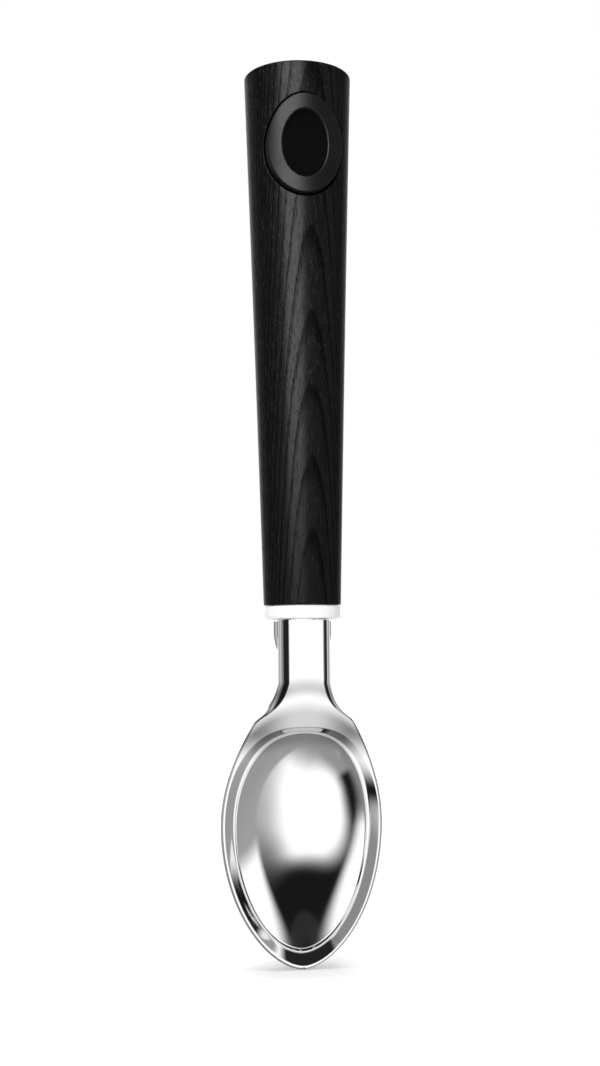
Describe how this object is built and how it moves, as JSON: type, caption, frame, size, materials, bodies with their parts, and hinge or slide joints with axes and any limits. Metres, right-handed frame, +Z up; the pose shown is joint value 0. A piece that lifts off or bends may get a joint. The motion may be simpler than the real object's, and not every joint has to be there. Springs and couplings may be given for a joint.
{
  "type": "ice cream scoop",
  "caption": "Spade-type ice cream scoop: egg-shaped metal bowl with a raised lip and stepped hollow, white collar, tapered wooden handle with an oval hanging hole.",
  "frame": {"origin": "centre of the oval hanging hole, on the handle's axis", "axes": "+Z up along the handle, from the bowl to the handle's end; -Y is the side that the bowl opens to; +X to the right, seen from the front"},
  "size_m": [0.04, 0.0304, 0.2202],
  "materials": {
    "polished_cast_metal": "polished",
    "white_moulded_plastic": "satin white",
    "black_stained_ash": "black-stained open grain, satin",
    "black_moulded_plastic": "satin black",
    "plain_steel": "plain"
  },
  "bodies": {
    "root": {"scoop_head": "polished_cast_metal", "ferrule": "white_moulded_plastic", "handle": "black_stained_ash", "eyelet_front": "black_moulded_plastic", "eyelet_rear": "black_moulded_plastic", "tang": "plain_steel"}
  },
  "joints": []
}
